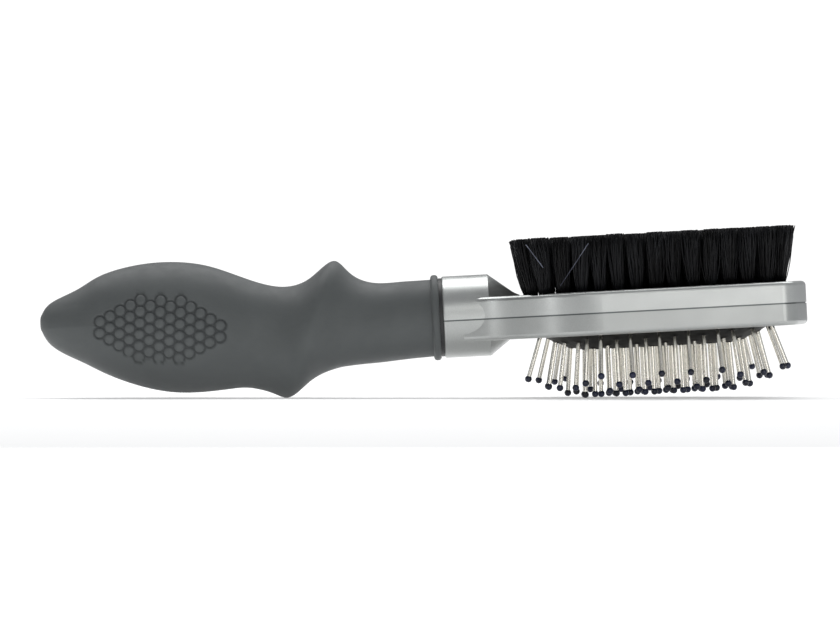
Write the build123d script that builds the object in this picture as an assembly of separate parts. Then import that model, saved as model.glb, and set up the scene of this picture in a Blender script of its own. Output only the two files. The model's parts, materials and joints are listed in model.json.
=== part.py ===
from build123d import *
from math import atan2, degrees, hypot
import os

# Two-sided grooming brush, in millimetres.
#
# It is modelled in the brush frame: X runs along the neck axis towards the head, Z points
# towards the bristles, and the origin is where the handle meets the head. Each part is then
# turned and lifted into the resting pose, with the pin tips and the finger guard on Z = 0.

# ---------------------------------------------------------------- driving dimensions

NECK_RADIUS = 12.5
HEAD_END_X = 111.4            # far end of the head
HEAD_HALF_WIDTH = 30.0
RIM_TOP_Z = 5.45              # bristle side of the head
RIM_BOTTOM_Z = -7.8           # pin side of the head
PARTING_Z = -1.2              # plane where the two shells meet
FIELD_X = 65.0                # centre of the bristle field and of the cushion
EDGE_ROUND = 1.4

REST_TILT = 2.97              # degrees that the head end stands up at rest

# The handle is a skin over ribs. Each rib is an ellipse that leans so that it meets the top
# outline and the bottom outline: top point x, z, bottom point x, z, half width.
GRIP_RIBS = [
    (-123.2, 6.6, -123.2, 2.4, 2.0),      # blunt tail
    (-121.6, 9.3, -121.6, -1.0, 5.0),
    (-117.0, 12.1, -117.0, -4.9, 8.4),
    (-110.6, 14.9, -110.6, -8.3, 11.3),
    (-106.4, 17.3, -106.4, -10.7, 13.0),  # brow where the bulb starts
    (-98.0, 20.1, -98.0, -14.7, 15.6),
    (-85.0, 21.45, -85.5, -18.4, 17.2),   # fullest part of the bulb
    (-72.0, 19.8, -75.0, -19.1, 16.6),
    (-60.5, 15.4, -66.0, -18.6, 14.6),
    (-48.5, 12.0, -59.5, -18.7, 13.2),    # waist
    (-40.5, 13.9, -54.0, -20.3, 14.2),
    (-35.8, 17.5, -51.2, -21.6, 15.4),
    (-32.2, 19.1, -49.0, -22.2, 16.0),    # finger guard
    (-29.2, 16.6, -46.4, -21.2, 15.3),
    (-24.6, 12.9, -40.5, -16.7, 13.4),
    (-19.0, 11.5, -31.0, -13.6, 12.4),
    (-12.0, 11.6, -19.5, -12.85, 12.1),
    (-7.5, 11.65, -10.5, -12.2, 11.85),
    (-5.2, 11.7, -6.0, -12.0, 11.75),
    (-3.0, 11.7, -3.0, -11.8, 11.7),      # barrel, at the lip
]
SLEEVE_WALL = 3.0
CORE_RIBS = GRIP_RIBS[2:-2] + GRIP_RIBS[-1:]    # the core starts short of the tail
LIP_RADIUS = 13.1
LIP_BACK_X = -3.3
LIP_FRONT_X = -1.0
CORE_NECK_RADIUS = 9.5
COLLAR_RADIUS = 12.0

# Flanged tenon of the core, held in the neck.
TENON_RADIUS = 5.5
TENON_LENGTH = 6.0
FLANGE_SIDE = 15.0
FLANGE_LENGTH = 4.0
TENON_PLAY = 0.1

# Head.
SHOULDER_START_X = 14.2       # where the round neck starts to slope down to the head
SHOULDER_END = (21.4, 7.0)
SHOULDER_RUNOUT = (31.0, 4.6)
FLARE_START = (6.0, 11.2)
FLARE_MIDDLE = (24.0, 20.0)
FLARE_END_X = 48.0
CORNER_X = 105.8              # where the bowed end of the head meets its sides
CORNER_RADIUS = 5.0
SEAM_DEPTH = 0.35
SEAM_HALF_HEIGHT = 0.17
FLOOR_THICKNESS = 0.9

# Bristle plate and tufts.
PLATE_HALF_LENGTH = 41.2
PLATE_HALF_WIDTH = 25.0
PLATE_CORNER = 11.0
PLATE_THICKNESS = 3.4
PLATE_RECESS = 1.0
LEDGE_WIDTH = 2.4
TUFT_TOP_Z = 21.7
TUFT_HOLE_RADIUS = 1.3
TUFT_HOLE_DEPTH = 2.6
TUFT_FOOT_RISE = 0.3
TUFT_TOP_RADIUS = 2.3
TUFT_PITCH = 5.6
# Half length, half width, corner radius and outward lean in degrees of each ring of tufts.
TUFT_RINGS = [
    (18.0, 2.0, 1.9, 0.0),
    (23.0, 7.0, 3.5, 1.0),
    (28.0, 12.0, 5.0, 2.5),
    (33.0, 17.0, 7.0, 4.5),
    (38.0, 22.0, 9.0, 7.0),
]
STAPLE = (0.35, 2.0, 1.2)     # thickness, width, height of an anchor staple

# Air cushion and pins.
CUSHION_STRAIGHT = 14.5       # half length of the cushion's straight middle
CUSHION_RADIUS = 24.5
CUSHION_WALL = 2.0
CUSHION_EDGE_Z = -4.0
CUSHION_HEIGHT = 7.5
CUSHION_FLAT = 8.0            # half width of the level top of the dome
CUSHION_POWER = 1.6           # how the dome falls away from there
FLANGE_RADIUS = 26.0          # the cushion's edge bead, in the lower shell's groove
VENT_RADIUS = 1.0
PIN_RADIUS = 0.65
PIN_HOLE_PLAY = 0.05
PIN_REACH = 15.5              # from the dome to the end of the tip
PIN_HEAD_RADIUS = 1.15
PIN_HEAD_THICKNESS = 0.5
PIN_HEAD_GAP = 0.4           # between the cushion's inner skin and the pin heads
TIP_RADIUS = 1.05
# The pins stand in rows along the cushion. Each row starts a different share of the pitch
# along, so that few pins hide behind each other.
PIN_PITCH = 8.8
PIN_ROW_STEP = 4.1
PIN_ROW_SHIFTS = (0, 0.55, 0.25, 0.8, 0.5, 0, 0.5, 0.3, 0.75, 0.1, 0.65)
PIN_LEAN = 19.5               # outward lean in degrees at the last ring's limit
PIN_RING_LIMITS = (4.0, 9.5, 13.0, 18.0, 21.2)  # distance from the spine where a ring ends

# Self-tapping screws under the cushion.
SCREW_SPREAD_X = 22.0
SCREW_SPREAD_Y = 9.5
SCREW_RADIUS = 1.25
SCREW_HEAD_RADIUS = 2.2
SCREW_HEAD_HEIGHT = 1.5
SCREW_DRIVE_RADIUS = 0.8
BOSS_RADIUS = 2.8

# ---------------------------------------------------------------- worked out from them

FLOOR_Z = PARTING_Z - FLOOR_THICKNESS
PLATE_TOP_Z = RIM_TOP_Z - PLATE_RECESS
PLATE_BOTTOM_Z = PLATE_TOP_Z - PLATE_THICKNESS
SCREW_SPOTS = [
    (FIELD_X + side_x * SCREW_SPREAD_X, side_y * SCREW_SPREAD_Y)
    for side_x in (-1, 1)
    for side_y in (-1, 1)
]
FAR = 400.0                   # larger than the brush, for cutting blocks


# ---------------------------------------------------------------- shared shapes

def block(x_range, y_range, z_range):
    """A box between two corners."""
    size = [high - low for low, high in (x_range, y_range, z_range)]
    middle = [(high + low) / 2 for low, high in (x_range, y_range, z_range)]
    return Pos(*middle) * Box(*size)


def rod_x(radius, start, end):
    """A cylinder along the neck axis."""
    return Pos((start + end) / 2, 0, 0) * Rot(0, 90, 0) * Cylinder(radius, end - start)


def rod_z(radius, spot, bottom, top):
    """An upright cylinder over an (x, y) spot."""
    return Pos(spot[0], spot[1], (bottom + top) / 2) * Cylinder(radius, top - bottom)


def slab(outline, bottom, top):
    """An outline drawn on the XY plane, extruded between two heights."""
    return Pos(0, 0, bottom) * extrude(outline, top - bottom)


def loop_spots(straight_x, straight_y, radius, pitch):
    """Evenly spaced spots on a rounded rectangle about the origin.

    The centres of its corners are at (+-straight_x, +-straight_y). Each spot is its x and y,
    and the heading in degrees that points straight out of the loop there.
    """
    outline = RectangleRounded(2 * (straight_x + radius), 2 * (straight_y + radius), radius)
    loop = outline.wire()
    count = round(loop.length / pitch)
    spots = []
    for index in range(count):
        spot = loop.position_at((index + 0.25) * loop.length / count, PositionMode.LENGTH)
        out_x = spot.X - max(-straight_x, min(straight_x, spot.X))
        out_y = spot.Y - max(-straight_y, min(straight_y, spot.Y))
        spots.append((spot.X, spot.Y, degrees(atan2(out_y, out_x))))
    return spots


def leaning(x, y, z, heading, lean):
    """A frame at a spot of the head, its Z axis leaning outward by an angle."""
    return Pos(FIELD_X + x, y, z) * Rot(0, 0, heading) * Rot(0, lean, 0)


# ---------------------------------------------------------------- handle

def rib_outline(rib, inset):
    """The ellipse of one rib of the handle, drawn smaller by an inset."""
    top_x, top_z, bottom_x, bottom_z, half_width = rib
    half_height = hypot(top_x - bottom_x, top_z - bottom_z) / 2
    middle = Vector((top_x + bottom_x) / 2, 0, (top_z + bottom_z) / 2)
    rise = Vector(top_x - bottom_x, 0, top_z - bottom_z)
    plane = Plane(origin=middle, x_dir=(0, 1, 0), z_dir=Vector(0, 1, 0).cross(rise))
    return plane * Ellipse(half_width - inset, half_height - inset)


def handle_body(ribs, inset):
    """The handle's form over some of its ribs, inset by a distance."""
    return loft([rib_outline(rib, inset) for rib in ribs])


def handle_core():
    """Hard core of the handle, with the collar and the flanged tenon that the neck holds."""
    barrel_end = GRIP_RIBS[-1][0]
    core = handle_body(CORE_RIBS, SLEEVE_WALL)
    core += rod_x(CORE_NECK_RADIUS - 1, barrel_end - 2, barrel_end)
    core += rod_x(CORE_NECK_RADIUS, barrel_end, LIP_FRONT_X)
    core += rod_x(COLLAR_RADIUS, LIP_FRONT_X, 0)
    return core + tenon(0)


def tenon(play):
    """The tenon and its square flange, grown by some play for its pocket."""
    shank = rod_x(TENON_RADIUS + play, 0, TENON_LENGTH)
    half = FLANGE_SIDE / 2 + play
    flange_x = (TENON_LENGTH - play, TENON_LENGTH + FLANGE_LENGTH + play)
    return shank + block(flange_x, (-half, half), (-half, half))


def grip_sleeve():
    """Soft sleeve moulded over the core, with a rolled lip at its front."""
    barrel_end = GRIP_RIBS[-1][0]
    sleeve = handle_body(GRIP_RIBS, 0)
    lip = rod_x(LIP_RADIUS, LIP_BACK_X, LIP_FRONT_X)
    lip = fillet(lip.edges().filter_by(GeomType.CIRCLE), 0.95)
    sleeve += rod_x(COLLAR_RADIUS - 0.5, barrel_end, LIP_FRONT_X)
    return sleeve + lip - handle_core()


# ---------------------------------------------------------------- head shells

def head_outline(inset=0.0):
    """Plan of the head, drawn smaller by an inset: round neck, flared sides, bowed end."""
    side_y = HEAD_HALF_WIDTH - inset
    corner_x = CORNER_X - inset
    start = (FLARE_START[0], FLARE_START[1] - inset)
    middle = (FLARE_MIDDLE[0] + inset / 2, FLARE_MIDDLE[1] - inset)
    flare = Spline(start, middle, (FLARE_END_X, side_y), tangents=[(1, 0.05), (1, 0)])
    side = Line((FLARE_END_X, side_y), (corner_x, side_y))
    bow = ThreePointArc((corner_x, side_y), (HEAD_END_X - inset, 0), (corner_x, -side_y))
    back = Line(start, (start[0], -start[1]))
    near_side = mirror(Curve() + [flare, side], Plane.XZ)
    plan = make_face(Curve() + [flare, side, bow, near_side, back])
    corners = plan.vertices().filter_by(lambda corner: abs(corner.X - corner_x) < 0.01)
    return fillet(corners, CORNER_RADIUS)


def neck_profile():
    """Half section of the neck and its shoulder, to be turned about the neck axis."""
    corner = EDGE_ROUND / 2
    outline = Polyline((0, 0), (0, NECK_RADIUS - corner))
    outline += ThreePointArc(
        (0, NECK_RADIUS - corner),
        (corner * 0.293, NECK_RADIUS - corner * 0.293),
        (corner, NECK_RADIUS),
    )
    outline += Line((corner, NECK_RADIUS), (SHOULDER_START_X, NECK_RADIUS))
    outline += Line((SHOULDER_START_X, NECK_RADIUS), SHOULDER_END)
    slope = (SHOULDER_END[0] - SHOULDER_START_X, SHOULDER_END[1] - NECK_RADIUS)
    outline += Spline(SHOULDER_END, SHOULDER_RUNOUT, tangents=[slope, (1, -0.05)])
    outline += Polyline(SHOULDER_RUNOUT, (SHOULDER_RUNOUT[0], 0), (0, 0))
    return make_face(outline)


def head_form():
    """Outer form of both shells together."""
    paddle = slab(head_outline(), RIM_BOTTOM_Z, RIM_TOP_Z)
    flat_edges = paddle.edges().group_by(Axis.Z)
    paddle = fillet(flat_edges[0] + flat_edges[-1], EDGE_ROUND)
    neck = Rot(90, 0, 0) * revolve(neck_profile(), Axis.X)
    return paddle + neck


def seam_groove():
    """Thin band cut all round where the shells meet."""
    bottom = PARTING_Z - SEAM_HALF_HEIGHT
    top = PARTING_Z + SEAM_HALF_HEIGHT
    band = slab(Pos(50, 0) * Rectangle(FAR, FAR), bottom, top)
    inner = slab(head_outline(SEAM_DEPTH), bottom, top)
    return band - inner - rod_x(NECK_RADIUS - SEAM_DEPTH, -1, SHOULDER_START_X)


def plate_outline(growth=0.0):
    """Plan of the bristle plate."""
    width = 2 * (PLATE_HALF_LENGTH + growth)
    height = 2 * (PLATE_HALF_WIDTH + growth)
    return Pos(FIELD_X, 0) * RectangleRounded(width, height, PLATE_CORNER + growth)


def cushion_outline(radius):
    """Plan of the cushion out to a distance from its spine."""
    return Pos(FIELD_X, 0) * SlotCenterToCenter(2 * CUSHION_STRAIGHT, 2 * radius)


def upper_head_shell():
    """Bristle side of the head, with the plate's pocket and the ledge under it."""
    shell = head_form() & block((-1, FAR), (-FAR, FAR), (PARTING_Z, FAR))
    shell -= slab(plate_outline(), PLATE_BOTTOM_Z, FAR)
    shell -= slab(plate_outline(-LEDGE_WIDTH), PARTING_Z - 1, PLATE_BOTTOM_Z)
    return shell - tenon(TENON_PLAY) - seam_groove()


def lower_head_shell():
    """Pin side of the head: floor, cushion opening with its groove, and the screw holes."""
    shell = head_form() & block((-1, FAR), (-FAR, FAR), (-FAR, PARTING_Z))
    shell -= slab(cushion_outline(CUSHION_RADIUS), -FAR, FLOOR_Z)
    shell -= slab(cushion_outline(FLANGE_RADIUS), CUSHION_EDGE_Z, FLOOR_Z)
    for spot in SCREW_SPOTS:
        shell -= rod_z(SCREW_RADIUS, spot, FLOOR_Z, PARTING_Z)
    return shell - tenon(TENON_PLAY) - seam_groove()


# ---------------------------------------------------------------- bristles

def tuft_spots(ring):
    """Frames at the tuft holes of one ring, on the plate's top face."""
    half_length, half_width, radius, lean = ring
    spots = loop_spots(half_length - radius, half_width - radius, radius, TUFT_PITCH)
    return [leaning(x, y, PLATE_TOP_Z, heading, lean) for x, y, heading in spots]


def bristle_plate():
    """Plate with a blind hole for each tuft and a boss for each screw."""
    plate = slab(plate_outline(), PLATE_BOTTOM_Z, PLATE_TOP_Z)
    hole = tuft_foot()
    holes = [spot * hole for ring in TUFT_RINGS for spot in tuft_spots(ring)]
    plate -= holes
    for spot in SCREW_SPOTS:
        plate += rod_z(BOSS_RADIUS, spot, PARTING_Z, PLATE_BOTTOM_Z)
        plate -= rod_z(SCREW_RADIUS, spot, PARTING_Z, PLATE_BOTTOM_Z)
    return plate


def tuft_foot():
    """The round foot of a tuft, from the bottom of its hole to a little above the plate."""
    middle = (TUFT_FOOT_RISE - TUFT_HOLE_DEPTH) / 2
    return Pos(0, 0, middle) * Cylinder(TUFT_HOLE_RADIUS, TUFT_HOLE_DEPTH + TUFT_FOOT_RISE)


def staple():
    """Wire staple that pins the fold of a tuft to the bottom of its hole."""
    thickness, width, height = STAPLE
    return Pos(0, 0, height / 2 - TUFT_HOLE_DEPTH) * Box(thickness, width, height)


def tuft():
    """One tuft, longer than needed: a round foot in its hole and a brush that opens upward."""
    length = TUFT_TOP_Z - PLATE_TOP_Z + 1
    middle = TUFT_FOOT_RISE + length / 2
    hair = Pos(0, 0, middle) * Cone(TUFT_HOLE_RADIUS, TUFT_TOP_RADIUS, length)
    return tuft_foot() + hair - staple()


def tuft_ring(ring):
    """The tufts of one ring, trimmed level."""
    trim = block((-FAR, FAR), (-FAR, FAR), (TUFT_TOP_Z, TUFT_TOP_Z + 10))
    one = tuft()
    return [(spot * one) - trim for spot in tuft_spots(ring)]


# ---------------------------------------------------------------- cushion and pins

def dome_share(distance):
    """How much of the dome's height it has at a distance from its spine."""
    outside = max(distance - CUSHION_FLAT, 0) / (CUSHION_RADIUS - CUSHION_FLAT)
    return 1 - outside**CUSHION_POWER


def dome_z(distance):
    """Height of the cushion's outer skin at a distance from its spine."""
    return CUSHION_EDGE_Z - CUSHION_HEIGHT * dome_share(distance)


def dome_curve(reach, lift):
    """Section of the dome from its spine out to a distance, moved up by some height."""
    steps = [CUSHION_FLAT + (reach - CUSHION_FLAT) * step / 6 for step in range(7)]
    level = Line((0, dome_z(0) + lift), (CUSHION_FLAT, dome_z(0) + lift))
    return level + Spline([(step, dome_z(step) + lift) for step in steps])


def cushion_profile():
    """Half section of the cushion: domed skin with an edge bead."""
    inner_radius = CUSHION_RADIUS - CUSHION_WALL
    skin = dome_curve(CUSHION_RADIUS, 0)
    lining = dome_curve(inner_radius, CUSHION_WALL)
    bead = Polyline(
        (CUSHION_RADIUS, CUSHION_EDGE_Z),
        (FLANGE_RADIUS, CUSHION_EDGE_Z),
        (FLANGE_RADIUS, FLOOR_Z),
        (inner_radius, FLOOR_Z),
        (inner_radius, dome_z(inner_radius) + CUSHION_WALL),
    )
    spine = Line((0, dome_z(0)), (0, dome_z(0) + CUSHION_WALL))
    return make_face(Curve() + [*skin.edges(), bead, *lining.edges(), spine])


def cushion_pad():
    """Rubber dome with a clearance hole for each pin and one vent."""
    profile = cushion_profile()
    half = extrude(Plane.YZ * profile, CUSHION_STRAIGHT, both=True)
    round_end = revolve(Plane.XZ * profile, Axis.Z) & block((0, FAR), (-FAR, FAR), (-FAR, FAR))
    far_end = Pos(CUSHION_STRAIGHT, 0, 0) * round_end
    pad = half + mirror(half, Plane.XZ) + far_end + mirror(far_end, Plane.YZ)
    pad = Pos(FIELD_X, 0, 0) * pad
    hole = Cylinder(PIN_RADIUS + PIN_HOLE_PLAY, 3 * CUSHION_WALL + 4)
    pad -= [spot * hole for ring in range(len(PIN_RING_LIMITS)) for spot in pin_spots(ring)]
    vent_spot = (FIELD_X + PIN_PITCH / 2, 0)
    return pad - rod_z(VENT_RADIUS, vent_spot, dome_z(0) - 1, dome_z(0) + CUSHION_WALL + 1)


def ring_distances(ring):
    """The x, y and distance from the spine of each pin of one ring."""
    start = PIN_RING_LIMITS[ring - 1] if ring else 0
    middle_row = (len(PIN_ROW_SHIFTS) - 1) / 2
    pins = []
    for row, shift in enumerate(PIN_ROW_SHIFTS):
        y = (row - middle_row) * PIN_ROW_STEP
        for column in range(-5, 6):
            x = (column + shift) * PIN_PITCH
            distance = hypot(max(abs(x) - CUSHION_STRAIGHT, 0), y)
            if start <= distance < PIN_RING_LIMITS[ring]:
                pins.append((x, y, distance))
    return pins


def pin_spots(ring):
    """Frames where the pins of one ring leave the dome, their Z axes pointing inward."""
    spots = []
    for x, y, distance in ring_distances(ring):
        out_x = x - max(-CUSHION_STRAIGHT, min(CUSHION_STRAIGHT, x))
        heading = degrees(atan2(y, out_x))
        lean = PIN_LEAN * (distance / PIN_RING_LIMITS[-1]) ** 2
        spots.append(leaning(x, y, dome_z(distance), heading, -lean))
    return spots


def pin():
    """One pin: a headed steel wire that ends inside its tip."""
    head_z = CUSHION_WALL + PIN_HEAD_GAP
    wire_end = TIP_RADIUS - PIN_REACH
    wire = Pos(0, 0, (head_z + wire_end) / 2) * Cylinder(PIN_RADIUS, head_z - wire_end)
    head = Pos(0, 0, head_z + PIN_HEAD_THICKNESS / 2)
    return wire + head * Cylinder(PIN_HEAD_RADIUS, PIN_HEAD_THICKNESS)


def pin_tip():
    """One ball tip, moulded round the end of its pin."""
    return Pos(0, 0, TIP_RADIUS - PIN_REACH) * Sphere(TIP_RADIUS) - pin()


# ---------------------------------------------------------------- fasteners

def shell_screws():
    """Pan-head self-tapping screws, driven from inside the cushion."""
    screws = []
    for spot in SCREW_SPOTS:
        head_bottom = FLOOR_Z - SCREW_HEAD_HEIGHT
        screw = rod_z(SCREW_RADIUS, spot, FLOOR_Z, PLATE_BOTTOM_Z)
        screw += rod_z(SCREW_HEAD_RADIUS, spot, head_bottom, FLOOR_Z)
        screw -= rod_z(SCREW_DRIVE_RADIUS, spot, head_bottom, FLOOR_Z - SCREW_HEAD_HEIGHT / 3)
        screws.append(screw)
    return screws


# ---------------------------------------------------------------- assembly

def make_parts():
    """Every sub-part in the brush frame, by name."""
    parts = {
        "grip_sleeve": grip_sleeve(),
        "handle_core": handle_core(),
        "upper_head_shell": upper_head_shell(),
        "lower_head_shell": lower_head_shell(),
        "bristle_plate": bristle_plate(),
        "cushion_pad": cushion_pad(),
        "shell_screws": shell_screws(),
    }
    one_staple = staple()
    all_tufts = [spot for ring in TUFT_RINGS for spot in tuft_spots(ring)]
    parts["tuft_staples"] = [spot * one_staple for spot in all_tufts]
    for number, ring in enumerate(TUFT_RINGS, start=1):
        parts[f"bristle_tufts_ring_{number}"] = tuft_ring(ring)
    one_pin = pin()
    one_tip = pin_tip()
    for ring in range(len(PIN_RING_LIMITS)):
        parts[f"pins_ring_{ring + 1}"] = [spot * one_pin for spot in pin_spots(ring)]
        parts[f"pin_tips_ring_{ring + 1}"] = [spot * one_tip for spot in pin_spots(ring)]
    return parts


def as_compound(piece):
    """The solids of a sub-part in one compound."""
    pieces = piece if isinstance(piece, list) else [piece]
    return Compound([solid for one in pieces for solid in one.solids()])


def main():
    """Turn the brush into its resting pose, centre it over the origin and write it."""
    tilt = Rot(0, -REST_TILT, 0)
    parts = {name: tilt * as_compound(piece) for name, piece in make_parts().items()}
    box = Compound(list(parts.values())).bounding_box()
    centring = Pos(-box.center().X, 0, -box.min.Z)
    os.makedirs("parts", exist_ok=True)
    for name, piece in parts.items():
        export_step(centring * piece, f"parts/{name}.step")
    print("brush frame's origin in the resting pose:", (centring * tilt).position)
    for name in ("grip_sleeve", "pin_tips_ring_1", "pin_tips_ring_2"):
        print("lowest point of", name, (centring * parts[name]).bounding_box().min.Z)


if __name__ == "__main__":
    main()
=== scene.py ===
import json
import random
from math import atan2, cos, pi, radians, sin, sqrt, tau

import bpy
import numpy as np
from mathutils import Matrix, Vector
from mathutils.bvhtree import BVHTree


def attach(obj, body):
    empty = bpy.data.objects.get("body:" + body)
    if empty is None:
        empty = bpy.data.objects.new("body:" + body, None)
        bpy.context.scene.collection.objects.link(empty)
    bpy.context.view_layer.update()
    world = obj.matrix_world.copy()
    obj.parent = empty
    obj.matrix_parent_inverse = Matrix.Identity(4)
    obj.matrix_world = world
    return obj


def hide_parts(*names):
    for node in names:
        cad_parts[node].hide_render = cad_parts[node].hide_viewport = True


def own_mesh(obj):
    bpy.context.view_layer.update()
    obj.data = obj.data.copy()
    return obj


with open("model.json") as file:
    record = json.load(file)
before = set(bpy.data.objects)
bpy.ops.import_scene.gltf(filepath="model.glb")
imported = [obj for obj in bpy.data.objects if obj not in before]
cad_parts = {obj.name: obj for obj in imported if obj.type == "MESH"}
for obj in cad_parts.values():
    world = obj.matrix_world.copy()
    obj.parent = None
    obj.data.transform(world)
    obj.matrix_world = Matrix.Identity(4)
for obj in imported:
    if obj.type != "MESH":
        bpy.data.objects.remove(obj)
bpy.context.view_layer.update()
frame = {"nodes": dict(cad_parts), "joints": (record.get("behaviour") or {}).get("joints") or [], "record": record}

# ---------------------------------------------------------------- the brush's own frame
# The model lies at rest on its pins, a little head-up. Everything here is placed in the
# brush's own frame: X along the neck, Y across, Z out of the bristle face, in millimetres,
# with its origin where the handle meets the head.

MM = 0.001
RINGS = range(1, 6)                  # the rings of tufts and of pins, from the middle out
GRIP_MOUNT = (-60.0, 0.0, -1.5)     # the hand_grip mount in the brush's own frame

mounts = {mount["name"]: mount for mount in frame["record"]["mounts"]}
press = frame["joints"][0]           # the innermost ring of pins, pressed into the cushion
UP = Vector(press["axis"]).normalized()
ACROSS = Vector((0.0, 1.0, 0.0))
ALONG = ACROSS.cross(UP)
TURN = Matrix((ALONG, ACROSS, UP)).transposed()
ORIGIN = Vector(mounts["hand_grip"]["pos_m"]) - TURN @ (Vector(GRIP_MOUNT) * MM)
TURN_ROWS = np.array(TURN)
ORIGIN_ROW = np.array(ORIGIN)


def to_row(points):
    """Brush-frame millimetres to row-frame metres, for an array of points."""
    return np.asarray(points, float) * MM @ TURN_ROWS.T + ORIGIN_ROW


def to_brush(points):
    """Row-frame metres to brush-frame millimetres, for an array of points."""
    return (np.asarray(points, float) - ORIGIN_ROW) @ TURN_ROWS / MM


def cad_points(node):
    """The vertices of a CAD node in the brush frame."""
    mesh = frame["nodes"][node].data
    points = np.zeros(len(mesh.vertices) * 3)
    mesh.vertices.foreach_get("co", points)
    return to_brush(points.reshape(-1, 3))


def islands(node):
    """The separate solids of a CAD node, each as an array of its points."""
    mesh = frame["nodes"][node].data
    points = cad_points(node)
    keys = {}
    leader = list(range(len(points)))

    def find(index):
        while leader[index] != index:
            leader[index] = leader[leader[index]]
            index = leader[index]
        return index

    for index, point in enumerate(points):
        key = tuple(np.round(point, 3))
        leader[index] = keys.setdefault(key, index)
    for edge in mesh.edges:
        first, second = find(edge.vertices[0]), find(edge.vertices[1])
        leader[first] = second
    groups = {}
    for index in range(len(points)):
        groups.setdefault(find(index), []).append(index)
    return [points[indices] for indices in groups.values()]


def new_piece(name, points, faces, tones=None):
    """A smooth mesh piece from brush-frame points, riding on the handle and head.

    Tones are one number for each point, which the material may read as "tone".
    """
    mesh = bpy.data.meshes.new(name)
    mesh.from_pydata([tuple(point) for point in to_row(points)], [], faces)
    mesh.update()
    mesh.polygons.foreach_set("use_smooth", [True] * len(mesh.polygons))
    if tones is not None:
        mesh.attributes.new("tone", "FLOAT", "POINT").data.foreach_set("value", tones)
    piece = bpy.data.objects.new(name, mesh)
    bpy.context.scene.collection.objects.link(piece)
    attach(piece, "root")
    return piece


def ring_faces(rings, around):
    """The four-sided faces between rings of points, each ring with the same number of points."""
    faces = []
    for ring in range(rings - 1):
        low, high = ring * around, (ring + 1) * around
        for place in range(around):
            step = (place + 1) % around
            faces.append((low + place, low + step, high + step, high + place))
    return faces


# ---------------------------------------------------------------- materials

class Nodes:
    """A short way to build one material's node tree."""

    def __init__(self, name):
        self.material = bpy.data.materials.new(name)
        self.material.use_nodes = True
        self.tree = self.material.node_tree
        self.shader = self.tree.nodes["Principled BSDF"]
        self.place = self.add("ShaderNodeTexCoord").outputs["Object"]

    def add(self, kind, **values):
        """Adds a node, and sets its inputs or settings by name."""
        node = self.tree.nodes.new(kind)
        for name, value in values.items():
            label = name.replace("_", " ")
            sockets = [socket for socket in node.inputs if socket.name.lower() == label]
            if sockets:
                sockets[0].default_value = value
            else:
                setattr(node, name, value)
        return node

    def link(self, output, target):
        self.tree.links.new(output, target)

    def noise(self, scale, detail=3.0, roughness=0.5, stretch=None):
        """A noise texture in object space, stretched along the row's axes if asked."""
        node = self.add("ShaderNodeTexNoise", scale=scale, detail=detail, roughness=roughness)
        if stretch:
            mapping = self.add("ShaderNodeMapping", scale=stretch)
            self.link(self.place, mapping.inputs["Vector"])
            self.link(mapping.outputs["Vector"], node.inputs["Vector"])
        else:
            self.link(self.place, node.inputs["Vector"])
        return node.outputs["Fac"]

    def ramp(self, factor, stops):
        """A colour ramp over a factor, from (position, colour) stops."""
        node = self.add("ShaderNodeValToRGB")
        elements = node.color_ramp.elements
        while len(elements) < len(stops):
            elements.new(0.5)
        for element, (position, colour) in zip(elements, stops):
            element.position = position
            element.color = (*colour, 1.0)
        self.link(factor, node.inputs["Fac"])
        return node.outputs["Color"]

    def tone(self):
        """The piece's own number for each point."""
        return self.add("ShaderNodeAttribute", attribute_name="tone").outputs["Fac"]

    def tinted(self, colour, factor, stops):
        """A colour multiplied by a colour ramp over a factor."""
        node = self.add("ShaderNodeMix", data_type="RGBA", blend_type="MULTIPLY")
        node.inputs["Factor"].default_value = 1.0
        self.link(colour, node.inputs["A"])
        self.link(self.ramp(factor, stops), node.inputs["B"])
        return node.outputs["Result"]

    def off_plane(self, height):
        """The distance in millimetres from the plane at a height in the brush frame."""
        along = self.add("ShaderNodeVectorMath", operation="DOT_PRODUCT")
        along.inputs[1].default_value = UP / MM
        self.link(self.place, along.inputs[0])
        above = self.add("ShaderNodeMath", operation="SUBTRACT")
        above.inputs[1].default_value = ORIGIN.dot(UP) / MM + height
        self.link(along.outputs["Value"], above.inputs[0])
        distance = self.add("ShaderNodeMath", operation="ABSOLUTE")
        self.link(above.outputs["Value"], distance.inputs[0])
        return distance.outputs["Value"]

    def spread(self, factor, low, high):
        """A factor from 0.3 to 0.7, the span of a noise, mapped to low and high."""
        node = self.add("ShaderNodeMapRange")
        for name, value in (("From Min", 0.3), ("From Max", 0.7), ("To Min", low), ("To Max", high)):
            node.inputs[name].default_value = value
        self.link(factor, node.inputs["Value"])
        return node.outputs["Result"]

    def bump(self, height, distance, strength=1.0, under=None):
        """A bump of a height in metres, over an earlier bump if given."""
        node = self.add("ShaderNodeBump", strength=strength, distance=distance)
        self.link(height, node.inputs["Height"])
        if under:
            self.link(under, node.inputs["Normal"])
        return node.outputs["Normal"]

    def set(self, **values):
        """Sets sockets of the shader by name: a number or colour, or an output to link."""
        for name, value in values.items():
            socket = self.shader.inputs[name.replace("_", " ")]
            if isinstance(value, bpy.types.NodeSocket):
                self.link(value, socket)
            else:
                socket.default_value = value


def shade(colour, factor):
    """A colour made lighter or darker."""
    return tuple(channel * factor for channel in colour)


WHITE = (1.0, 1.0, 1.0)
GRIP_GREY = (0.088, 0.096, 0.097)
GROOVE_TINT = (0.42, 0.43, 0.44)     # the grip's grooves gather shade
SILVER = (0.515, 0.53, 0.52)
SEAM_SHADOW = 0.3                    # half height of the shadow at the seam, in millimetres
SEAM_TINT = (0.28, 0.30, 0.30)


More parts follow.
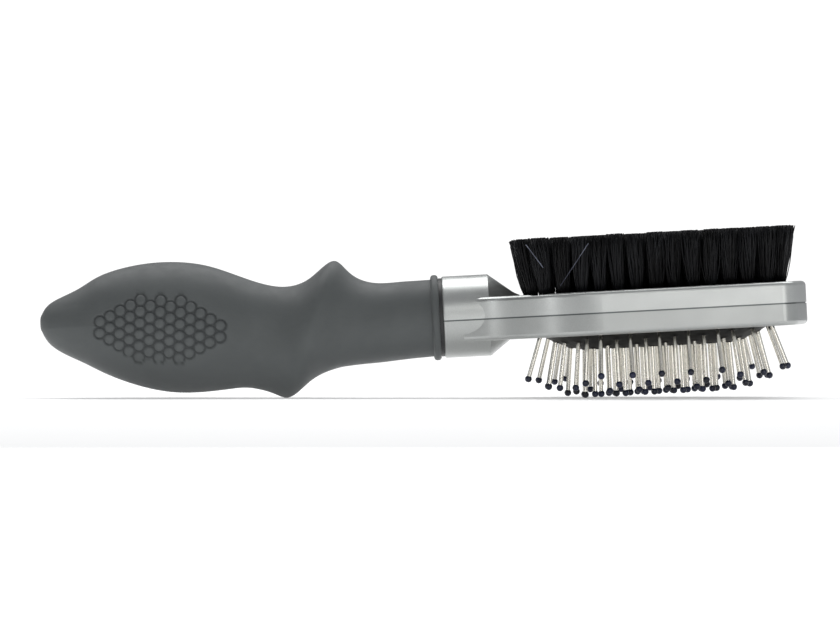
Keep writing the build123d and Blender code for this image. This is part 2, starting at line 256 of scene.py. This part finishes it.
def grip_rubber():
    """Soft-touch rubber: matte, faintly mottled, with a fine moulded grain."""
    n = Nodes("grip_rubber")
    mottle = n.noise(90.0, detail=4.0)
    grey = n.ramp(mottle, [(0.3, shade(GRIP_GREY, 0.94)), (0.7, shade(GRIP_GREY, 1.06))])
    n.set(Base_Color=n.tinted(grey, n.tone(), [(0.0, WHITE), (1.0, GROOVE_TINT)]))
    n.set(Roughness=n.spread(n.noise(260.0), 0.50, 0.62))
    n.set(Normal=n.bump(n.noise(2600.0, detail=2.0), 0.00004, 0.5))
    n.shader.inputs["Specular IOR Level"].default_value = 0.35
    n.shader.inputs["Sheen Weight"].default_value = 0.12
    n.shader.inputs["Sheen Roughness"].default_value = 0.45
    return n.material


def core_plastic():
    """Hard black core, seen as the thin collar in front of the grip."""
    n = Nodes("core_plastic")
    n.set(Base_Color=n.ramp(n.noise(400.0), [(0.3, (0.016, 0.017, 0.018)), (0.7, (0.024, 0.025, 0.026))]))
    n.set(Roughness=n.spread(n.noise(300.0), 0.4, 0.5))
    return n.material


def silver_paint(name, colour):
    """Silver metallic paint: fine flakes under a clear coat, and a shadow at the shells' seam."""
    n = Nodes(name)
    flakes = n.noise(5200.0, detail=1.0)
    paint = n.ramp(flakes, [(0.35, shade(colour, 0.94)), (0.65, shade(colour, 1.06))])
    from_seam = n.off_plane(cad_points("lower_head_shell")[:, 2].max())
    n.set(Base_Color=n.tinted(paint, from_seam, [(0.5 * SEAM_SHADOW, SEAM_TINT), (SEAM_SHADOW, WHITE)]))
    n.set(Roughness=n.spread(n.noise(150.0), 0.30, 0.38))
    peel = n.bump(n.noise(420.0, detail=2.0), 0.00006, 0.35)
    n.set(Normal=n.bump(flakes, 0.00002, 0.25, under=peel))
    n.shader.inputs["Metallic"].default_value = 0.82
    n.shader.inputs["Coat Weight"].default_value = 0.2
    n.shader.inputs["Coat Roughness"].default_value = 0.12
    return n.material


def black_plate():
    """Black moulded plate under the tufts."""
    n = Nodes("black_plate")
    n.set(Base_Color=n.ramp(n.noise(500.0), [(0.3, (0.012, 0.012, 0.013)), (0.7, (0.02, 0.02, 0.021))]))
    n.set(Roughness=n.spread(n.noise(700.0), 0.5, 0.65))
    n.set(Normal=n.bump(n.noise(1800.0), 0.00005, 0.6))
    return n.material


def nylon():
    """Drawn nylon filament: slim highlights, the tone shifting from hair to hair, and the loose hairs painted far
    lighter as a painted highlight.
    """
    n = Nodes("nylon_bristle")
    tufts = n.noise(170.0, detail=2.0, stretch=(1.0, 1.0, 0.25))
    black = n.ramp(tufts, [(0.40, (0.002, 0.002, 0.003)), (0.64, (0.014, 0.015, 0.018))])
    # tones up to 0.9 vary the tufts at random; tone 1 makes the loose hairs sixteen times lighter, a painted
    # highlight
    n.set(Base_Color=n.tinted(black, n.tone(), [(0.0, (0.6, 0.6, 0.6)), (0.9, WHITE), (1.0, (16, 16, 17))]))
    n.set(Roughness=n.spread(n.noise(900.0), 0.38, 0.55))
    n.shader.inputs["Specular IOR Level"].default_value = 0.3
    return n.material


def cushion_rubber():
    """Black rubber of the air cushion."""
    n = Nodes("cushion_rubber")
    n.set(Base_Color=n.ramp(n.noise(250.0), [(0.3, (0.003, 0.003, 0.003)), (0.7, (0.007, 0.007, 0.006))]))
    n.set(Roughness=n.spread(n.noise(400.0), 0.5, 0.62))
    n.set(Normal=n.bump(n.noise(1500.0), 0.00005, 0.5))
    n.shader.inputs["Specular IOR Level"].default_value = 0.2
    return n.material


def pin_steel():
    """Bright drawn steel wire, with a warm cream colour painted in the same all over: a painted reflection."""
    n = Nodes("pin_steel")
    drawn = n.noise(500.0, detail=2.0, stretch=(3.0, 3.0, 0.2))
    # the warm cream of the colour is a painted reflection
    n.set(Base_Color=n.ramp(drawn, [(0.3, (0.83, 0.80, 0.73)), (0.7, (0.90, 0.88, 0.82))]))
    n.set(Roughness=n.spread(n.noise(300.0), 0.18, 0.22))
    n.shader.inputs["Metallic"].default_value = 1.0
    return n.material


def tip_plastic():
    """Dark blue moulded ball tips."""
    n = Nodes("tip_plastic")
    n.set(Base_Color=n.ramp(n.noise(160.0), [(0.35, (0.006, 0.008, 0.016)), (0.62, (0.016, 0.022, 0.060))]))
    n.set(Roughness=n.spread(n.noise(600.0), 0.22, 0.34))
    return n.material


def hidden_steel(name):
    """Zinc-plated or drawn steel of the inner pieces."""
    n = Nodes(name)
    n.set(Base_Color=n.ramp(n.noise(600.0), [(0.3, (0.42, 0.42, 0.43)), (0.7, (0.56, 0.56, 0.57))]))
    n.set(Roughness=n.spread(n.noise(900.0), 0.3, 0.45))
    n.shader.inputs["Metallic"].default_value = 1.0
    return n.material


def floor_paper():
    """Pale studio paper, with a faint glow that keeps it white up to the brush's shadow."""
    n = Nodes("floor_paper")
    n.set(Base_Color=n.ramp(n.noise(8.0), [(0.3, (0.90, 0.90, 0.90)), (0.7, (0.92, 0.92, 0.92))]))
    n.set(Roughness=0.9)
    n.shader.inputs["Emission Color"].default_value = (*WHITE, 1.0)
    n.shader.inputs["Emission Strength"].default_value = FLOOR_GLOW
    return n.material


def give(piece, material):
    """Puts one material on a piece or a CAD node."""
    piece.data.materials.clear()
    piece.data.materials.append(material)


# ---------------------------------------------------------------- camera, floor and light

VIEW_CENTRE = (-7.0, 0.0, 1.07)      # what the camera aims at, in the brush frame
VIEW_WIDTH = 257.7                   # how much of the brush's length the picture spans
CAMERA_DISTANCE = 1.6
VIEW_SLOPE = radians(3.0)            # how steeply the brush rises across the picture
SENSOR = 36.0
SURROUND_DIM = 0.12                  # strength of the surroundings on the handle's side
SURROUND_BRIGHT = 0.45               # and on the head's side
BACKDROP_STRENGTH = 1.1
FLOOR_HALF = 0.6                     # half the side of the floor, in metres
FLOOR_GLOW = 0.32
WARM_LIGHT = (1.0, 0.99, 0.97)


def make_camera():
    """A long lens level with the brush."""
    data = bpy.data.cameras.new("camera")
    data.sensor_width = SENSOR
    data.lens = SENSOR * CAMERA_DISTANCE / (VIEW_WIDTH * MM)
    data.clip_end = 20.0
    camera = bpy.data.objects.new("camera", data)
    bpy.context.scene.collection.objects.link(camera)
    aim = Vector(to_row([VIEW_CENTRE])[0])
    camera.location = aim - ACROSS * CAMERA_DISTANCE
    level = Vector((0.0, 1.0, 0.0)).to_track_quat("-Z", "Y").to_matrix()
    rest_slope = atan2(-UP.x, UP.z)
    roll = Matrix.Rotation(rest_slope - VIEW_SLOPE, 3, "Z")
    camera.rotation_euler = (level @ roll).to_euler()
    bpy.context.scene.camera = camera


def area_light(name, place, size, power, colour=(1.0, 1.0, 1.0)):
    """A soft box aimed at the brush."""
    data = bpy.data.lights.new(name, "AREA")
    data.shape = "RECTANGLE"
    data.size, data.size_y = size
    data.energy = power
    data.color = colour
    light = bpy.data.objects.new(name, data)
    bpy.context.scene.collection.objects.link(light)
    light.location = place
    aim = Vector((0.0, 0.0, 0.03)) - Vector(place)
    light.rotation_euler = aim.to_track_quat("-Z", "Y").to_euler()


def make_floor():
    """A sheet of pale paper."""
    mesh = bpy.data.meshes.new("floor")
    corners = [(x * FLOOR_HALF, y * FLOOR_HALF, 0) for x, y in ((-1, -1), (1, -1), (1, 1), (-1, 1))]
    mesh.from_pydata(corners, [], [(0, 1, 2, 3)])
    floor = bpy.data.objects.new("floor", mesh)
    bpy.context.scene.collection.objects.link(floor)
    give(floor, floor_paper())


def make_surround():
    """Pale surroundings, dimmer on the handle's side, with a white backdrop."""
    world = bpy.data.worlds.new("studio")
    bpy.context.scene.world = world
    world.use_nodes = True
    nodes, links = world.node_tree.nodes, world.node_tree.links
    surround = nodes["Background"]
    surround.inputs["Color"].default_value = (0.95, 0.97, 1.0, 1.0)
    side = nodes.new("ShaderNodeSeparateXYZ")
    links.new(nodes.new("ShaderNodeTexCoord").outputs["Generated"], side.inputs["Vector"])
    fade = nodes.new("ShaderNodeMapRange")
    fade.inputs["From Min"].default_value = -1.0
    fade.inputs["To Min"].default_value = SURROUND_DIM
    fade.inputs["To Max"].default_value = SURROUND_BRIGHT
    links.new(side.outputs["X"], fade.inputs["Value"])
    links.new(fade.outputs["Result"], surround.inputs["Strength"])
    backdrop = nodes.new("ShaderNodeBackground")
    backdrop.inputs["Color"].default_value = (1.0, 1.0, 1.0, 1.0)
    backdrop.inputs["Strength"].default_value = BACKDROP_STRENGTH
    path = nodes.new("ShaderNodeLightPath")
    mix = nodes.new("ShaderNodeMixShader")
    links.new(path.outputs["Is Camera Ray"], mix.inputs["Fac"])
    links.new(surround.outputs["Background"], mix.inputs[1])
    links.new(backdrop.outputs["Background"], mix.inputs[2])
    links.new(mix.outputs["Shader"], nodes["World Output"].inputs["Surface"])


def make_studio():
    """Floor, surroundings and soft boxes: above, above and right of the camera, and left."""
    make_floor()
    make_surround()
    area_light("above_behind", (0.0, 0.35, 0.95), (1.4, 0.8), 9.5)
    area_light("above_camera", (0.1, -2.0, 0.95), (2.0, 0.5), 4.0, WARM_LIGHT)
    area_light("right_of_camera", (0.6, -2.2, 0.2), (0.9, 0.6), 4.2, WARM_LIGHT)
    area_light("left_soft", (-0.95, -0.70, 0.22), (0.15, 0.5), 0.8)
    bpy.context.scene.view_settings.view_transform = "Standard"


# ---------------------------------------------------------------- grip

BEAD_PITCH = 3.53
BEAD_COUNTS = (2, 3, 4, 5, 6, 5, 6, 5, 6, 5, 4, 3, 2)
BEAD_CENTRE = (-86.2, 0.9)           # middle of the diamond, x and z
BEAD_SLANT = radians(-4.8)
BEAD_RADIUS = 1.42
BEAD_RISE = 0.22
GROOVE_RADIUS = 1.74
GROOVE_HALF_WIDTH = 0.42
GROOVE_DEPTH = 0.45
CREST_Z = 3.0                        # the crease along each side of the tail
CREST_END_X = -104.5
CREST_RISE = 0.9
CREST_HALF_WIDTH = 6.5
CREST_FADE = 8.0                     # length over which the crease fades in
LIP_LENGTH = 3.2
BARREL_STEP = 0.35
LIP_STATIONS = 28
SMOOTHING_PASSES = 6
TAIL_RINGS = ((0.35, 0.22), (0.75, 0.14))    # share of the first ring's size, and how far past it
TAIL_TIP = 0.24


def bead_centres():
    """The middles of the beads of one side, in x and z."""
    column_step = BEAD_PITCH * cos(radians(30))
    middle = (len(BEAD_COUNTS) - 1) / 2
    centres = []
    for column, count in enumerate(BEAD_COUNTS):
        for row in range(count):
            along = (column - middle) * column_step
            up = (row - (count - 1) / 2) * BEAD_PITCH
            x = BEAD_CENTRE[0] + along * cos(BEAD_SLANT) - up * sin(BEAD_SLANT)
            z = BEAD_CENTRE[1] + along * sin(BEAD_SLANT) + up * cos(BEAD_SLANT)
            centres.append((x, z))
    return np.array(centres)


def bead_relief(x, z, centres):
    """Height of the beads over points of a side, and how deep in a groove each point is."""
    nearest = np.full(x.shape, np.inf)
    for centre_x, centre_z in centres:
        nearest = np.minimum(nearest, np.hypot(x - centre_x, z - centre_z))
    dome = BEAD_RISE * (1 - (nearest / BEAD_RADIUS) ** 2)
    groove = np.clip(1 - ((nearest - GROOVE_RADIUS) / GROOVE_HALF_WIDTH) ** 2, 0, 1)
    return np.where(nearest < BEAD_RADIUS, dome, 0) - GROOVE_DEPTH * groove, groove


def crest_relief(x, z):
    """Height of the crease that sharpens each side of the tail."""
    fade = np.clip((CREST_END_X - x) / CREST_FADE, 0, 1)
    fade = fade * fade * (3 - 2 * fade)
    tent = np.clip(1 - np.abs(z - CREST_Z) / CREST_HALF_WIDTH, 0, 1)
    return CREST_RISE * fade * tent


def grip_stations(start, lip, end):
    """Places along the handle, closer together on the rolled lip."""
    barrel = np.linspace(start, lip, round((lip - start) / BARREL_STEP), endpoint=False)
    return np.concatenate([barrel, np.linspace(lip, end, LIP_STATIONS)])


def grip_angles():
    """Angles round the handle from +Y, close together on the beaded sides."""
    fine = np.linspace(-34, 34, 78)
    coarse = np.linspace(34, 146, 36)[1:-1]
    whole = np.concatenate([fine, coarse, fine + 180, coarse + 180])
    return np.radians(whole)


def smoothed(radii, angles, passes, lip_row):
    """Radii averaged with their neighbours up to the lip, to lose the facets of the CAD mesh."""
    before = (angles - np.roll(angles, 1)) % tau
    after = (np.roll(angles, -1) - angles) % tau
    result = radii[:lip_row].copy()
    for _ in range(passes):
        left, right = np.roll(result, 1, axis=1), np.roll(result, -1, axis=1)
        result = (result + (left * after + right * before) / (before + after)) / 2
        result[1:-1] = (result[:-2] + 2 * result[1:-1] + result[2:]) / 4
    return np.concatenate([result, radii[lip_row:]])


def sleeve_radii(tree, stations, angles):
    """Middle height of the sleeve at each station, and its radius at each station and angle."""
    reach = 60.0
    middles = []
    radii = np.zeros((len(stations), len(angles)))
    for row, x in enumerate(stations):
        top = tree.ray_cast(Vector((x, 0, reach)), Vector((0, 0, -1)))[0]
        bottom = tree.ray_cast(Vector((x, 0, -reach)), Vector((0, 0, 1)))[0]
        centre = (top + bottom) / 2
        middles.append(centre.z)
        for column, angle in enumerate(angles):
            out = Vector((0, cos(angle), sin(angle)))
            hit = tree.ray_cast(centre + out * reach, -out)[0]
            radii[row, column] = (hit - centre).length
    return np.array(middles), radii


def make_grip():
    """The grip's skin, drawn finely over the CAD sleeve, with beads, grooves and crest."""
    sleeve = frame["nodes"]["grip_sleeve"]
    points = cad_points("grip_sleeve")
    tree = BVHTree.FromPolygons(
        [Vector(point) for point in points], [tuple(face.vertices) for face in sleeve.data.polygons]
    )
    start, end = points[:, 0].min() + 0.02, points[:, 0].max() - 0.03
    lip = end - LIP_LENGTH
    stations = grip_stations(start, lip, end)
    angles = grip_angles()
    middles, radii = sleeve_radii(tree, stations, angles)
    radii = smoothed(radii, angles, SMOOTHING_PASSES, int(np.searchsorted(stations, lip)))

    x = np.repeat(stations[:, None], len(angles), axis=1)
    z = middles[:, None] + radii * np.sin(angles)[None, :]
    relief, groove = bead_relief(x, z, bead_centres())
    relief += crest_relief(x, z)
    sideways = np.sqrt(np.clip(np.abs(np.cos(angles)) * 2 - 1, 0, 1))[None, :]
    radii = radii + relief * sideways
    groove = groove * (sideways > 0.2)
    y = radii * np.cos(angles)[None, :]
    z = middles[:, None] + radii * np.sin(angles)[None, :]

    rings = np.stack([x, y, z], axis=2)
    nose = rings[0].mean(axis=0)
    rows = [nose + (rings[0] - nose) * share + np.array([-depth, 0, 0])
            for share, depth in TAIL_RINGS]
    front = rings[-1].copy()
    front[:, 1:] *= 0.8
    rows = rows + list(rings) + [front]
    vertices = np.concatenate(rows + [[nose - (TAIL_TIP, 0, 0)], [front.mean(axis=0)]])
    around = len(angles)
    faces = ring_faces(len(rows), around)
    tip, hub = len(vertices) - 2, len(vertices) - 1
    last = (len(rows) - 1) * around
    for column in range(around):
        step = (column + 1) % around
        faces.append((tip, step, column))
        faces.append((hub, last + column, last + step))
    tones = np.zeros(len(vertices))
    first = len(TAIL_RINGS) * around     # after the rows that round off the tail
    tones[first:first + groove.size] = groove.ravel()
    grip = new_piece("grip_skin", vertices, faces, tones)
    give(grip, grip_rubber())
    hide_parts("grip_sleeve")


# ---------------------------------------------------------------- bristles

HAIRS_PER_TUFT = 105
HAIR_RADIUS = 0.18
HAIR_SIDES = 3
HAIR_STEPS = 5
TUFT_SPLAY = 1.12                    # how far the hairs fill out past the CAD tuft
TUFT_RISE = 0.9                      # how far the longest hairs stand above it
# Two hairs have come loose at the near side: root and tip, in x and z.
LOOSE_HAIRS = (((35.8, 7.7), (44.8, 20.0)), ((30.8, 13.4), (25.9, 20.6)))


def tube(path, radius, sides, twist=0.0):
    """Points and faces of a thin closed tube along a path."""
    vertices = []
    for point in path:
        for side in range(sides):
            angle = twist + tau * side / sides
            vertices.append(point + radius * np.array([cos(angle), sin(angle), 0.0]))
    faces = ring_faces(len(path), sides)
    faces.append(tuple(reversed(range(sides))))
    top = (len(path) - 1) * sides
    faces.append(tuple(range(top, top + sides)))
    return vertices, faces


def tuft_ends(points):
    """Foot centre, top centre, foot radius and top radius of one CAD tuft."""
    top_z = points[:, 2].max()
    top = points[points[:, 2] > top_z - 0.05]
    low = points[points[:, 2] < points[:, 2].min() + 0.5]
    top_centre, low_centre = top.mean(axis=0), low.mean(axis=0)
    top_radius = np.hypot(*(top - top_centre)[:, :2].T).max()
    low_radius = np.hypot(*(low - low_centre)[:, :2].T).max()
    return low_centre, top_centre, low_radius, top_radius


def hair_path(foot, crown, foot_radius, crown_radius, draw):
    """The line of one hair of a tuft: fanned from the root and a little tangled."""
    angle = draw.uniform(0, tau)
    share = sqrt(draw.random())
    root = foot + share * foot_radius * 1.05 * np.array([cos(angle), sin(angle), 0.0])
    angle += draw.gauss(0, 0.4)
    spread = share * crown_radius * TUFT_SPLAY
    tip = crown + spread * np.array([cos(angle), sin(angle), 0.0])
    tip += (draw.gauss(0, 0.38), draw.gauss(0, 0.38), TUFT_RISE - 0.9 * draw.random() ** 3 * (1 + share))
    bow = np.array([draw.gauss(0, 0.45), draw.gauss(0, 0.45), 0.0])
    kink = np.array([draw.gauss(0, 0.16), draw.gauss(0, 0.16), 0.0])
    path = []
    for step in range(HAIR_STEPS + 1):
        t = step / HAIR_STEPS
        path.append(root + (tip - root) * t + bow * sin(pi * t) + kink * sin(tau * t))
    return path


class Bundle:
    """Many hairs gathered into one mesh."""

    def __init__(self):
        self.vertices, self.faces, self.tones = [], [], []

    def add(self, path, radius, tone, twist):
        shape, skin = tube(path, radius, HAIR_SIDES, twist)
        base = len(self.vertices)
        self.vertices.extend(shape)
        self.faces.extend(tuple(base + index for index in face) for face in skin)
        self.tones.extend([tone] * len(shape))


def add_tuft(bundle, points, surface_z, draw):
    """All the hairs of one CAD tuft."""
    foot, crown, foot_radius, crown_radius = tuft_ends(points)
    run = (crown - foot) / (crown[2] - foot[2])
    foot = foot + run * (surface_z - foot[2])
    crown = crown + (draw.gauss(0, 0.25), draw.gauss(0, 0.25), draw.uniform(-0.35, 0))
    tuft_tone = draw.uniform(0, 0.5)
    for _ in range(HAIRS_PER_TUFT):
        path = hair_path(foot, crown, foot_radius, crown_radius, draw)
        bundle.add(path, HAIR_RADIUS, tuft_tone + draw.uniform(0, 0.4), draw.uniform(0, tau))


def add_loose_hairs(bundle, near_y):
    """The hairs that stand out from the tufts of the near side, painted far lighter than the tufts as a painted
    highlight.
    """
    for (root_x, root_z), (tip_x, tip_z) in LOOSE_HAIRS:
        root = np.array([root_x, near_y, root_z])
        tip = np.array([tip_x, near_y - 0.8, tip_z])
        path = [root + (tip - root) * t - (0, 0.6 * sin(pi * t), 0) for t in np.linspace(0, 1, 7)]
        # tone 1.0: these hairs painted light, a painted highlight
        bundle.add(path, HAIR_RADIUS, 1.0, 0.0)


def make_bristles():
    """Every tuft as real filaments, one piece for each ring of tufts."""
    draw = random.Random(11)
    surface_z = cad_points("bristle_plate")[:, 2].max() - 0.3
    black = nylon()
    for number in RINGS:
        node = f"bristle_tufts_ring_{number}"
        bundle = Bundle()
        for points in islands(node):
            add_tuft(bundle, points, surface_z, draw)
        if number == RINGS[-1]:
            add_loose_hairs(bundle, cad_points(node)[:, 1].min() - 0.4)
        hair = new_piece(f"tuft_hair_{number}", bundle.vertices, bundle.faces, bundle.tones)
        give(hair, black)
        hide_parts(node)


# ---------------------------------------------------------------- cushion

COLLAR_RISE = 0.5
COLLAR_RADIUS = 0.75
PIN_HEAD_DEPTH = 2.6                 # from the cushion's skin to the middle of a pin's head
CUSHION_FLAT = 8.0                   # half width of the level top of the dome
CUSHION_POWER = 1.6                  # how the dome falls away from there
CUSHION_EDGE_Z = -4.0
CUSHION_BEAD = 1.5                   # how far the edge bead reaches past the dome


def pin_feet():
    """Where each pin leaves the cushion."""
    feet = []
    for number in RINGS:
        for points in islands(f"pins_ring_{number}"):
            inner = points[points[:, 2] > points[:, 2].max() - 0.8].mean(axis=0)
            outer = points[points[:, 2] < points[:, 2].min() + 0.5].mean(axis=0)
            reach = np.linalg.norm(inner - outer)
            feet.append(outer + (inner - outer) * (reach - PIN_HEAD_DEPTH) / reach)
    return np.array(feet)


def slot_rim(straight):
    """Points round a slot shape: the point of its spine, and the way straight out from there."""
    run = np.linspace(-straight, straight, 66)
    arc = np.linspace(-pi / 2, pi / 2, 96)[1:-1]
    near = [(x, 0.0, -1.0) for x in run]
    far = [(x, 0.0, 1.0) for x in run[::-1]]
    right = [(straight, cos(angle), sin(angle)) for angle in arc]
    left = [(-straight, -cos(angle), -sin(angle)) for angle in arc]
    return np.array(near + right + far + left)


def make_cushion():
    """The rubber dome with a small raised collar round each pin."""
    points = cad_points("cushion_pad")
    low, high = points.min(axis=0), points.max(axis=0)
    centre_x = (low[0] + high[0]) / 2
    radius = (high[1] - low[1]) / 2 - CUSHION_BEAD
    straight = (high[0] - low[0] - high[1] + low[1]) / 2
    height = CUSHION_EDGE_Z - low[2]

    distances = np.append(np.linspace(0, radius, 70), [radius + 0.1, radius + CUSHION_BEAD - 0.1])
    outside = np.clip((distances - CUSHION_FLAT) / (radius - CUSHION_FLAT), 0, 1)
    heights = CUSHION_EDGE_Z - height * (1 - outside**CUSHION_POWER)
    rim = slot_rim(straight)
    x = centre_x + rim[None, :, 0] + distances[:, None] * rim[None, :, 1]
    y = distances[:, None] * rim[None, :, 2]
    z = np.repeat(heights[:, None], len(rim), axis=1)
    gap = np.full(x.shape, np.inf)
    for foot in pin_feet():
        gap = np.minimum(gap, np.hypot(x - foot[0], y - foot[1]))
    z = z - COLLAR_RISE * np.exp(-((gap / COLLAR_RADIUS) ** 2))
    vertices = np.stack([x, y, z], axis=2).reshape(-1, 3)
    outward = ring_faces(len(distances), len(rim))
    faces = [(face[0], *reversed(face[1:])) for face in outward]
    cushion = new_piece("cushion_dome", vertices, faces)
    weld = cushion.modifiers.new("weld", "WELD")
    weld.merge_threshold = 0.00001
    solid = cushion.modifiers.new("skin", "SOLIDIFY")
    solid.thickness = 0.0010
    solid.offset = 0.0
    bake_modifiers(cushion)
    give(cushion, cushion_rubber())
    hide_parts("cushion_pad")
    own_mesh(cushion)


def bake_modifiers(piece):
    """Applies a piece's modifiers to its mesh."""
    graph = bpy.context.evaluated_depsgraph_get()
    mesh = bpy.data.meshes.new_from_object(piece.evaluated_get(graph))
    piece.modifiers.clear()
    piece.data = mesh


# ---------------------------------------------------------------- carried-over CAD nodes

def dress_cad_nodes():
    """Gives each CAD node that stays its finished material."""
    finishes = {
        "handle_core": core_plastic(),
        "bristle_plate": black_plate(),
        "shell_screws": hidden_steel("screw_steel"),
        "tuft_staples": hidden_steel("staple_wire"),
    }
    finishes["upper_head_shell"] = silver_paint("silver_paint", SILVER)
    # the pin-side shell gets the same silver made darker: painted shade on the lower side of the head
    finishes["lower_head_shell"] = silver_paint("silver_paint_pin_side_painted_shade", shade(SILVER, 0.82))
    steel, plastic = pin_steel(), tip_plastic()
    for number in RINGS:
        finishes[f"pins_ring_{number}"] = steel
        finishes[f"pin_tips_ring_{number}"] = plastic
    for node, material in finishes.items():
        give(frame["nodes"][node], material)


make_camera()
make_studio()
make_grip()
make_bristles()
make_cushion()
dress_cad_nodes()
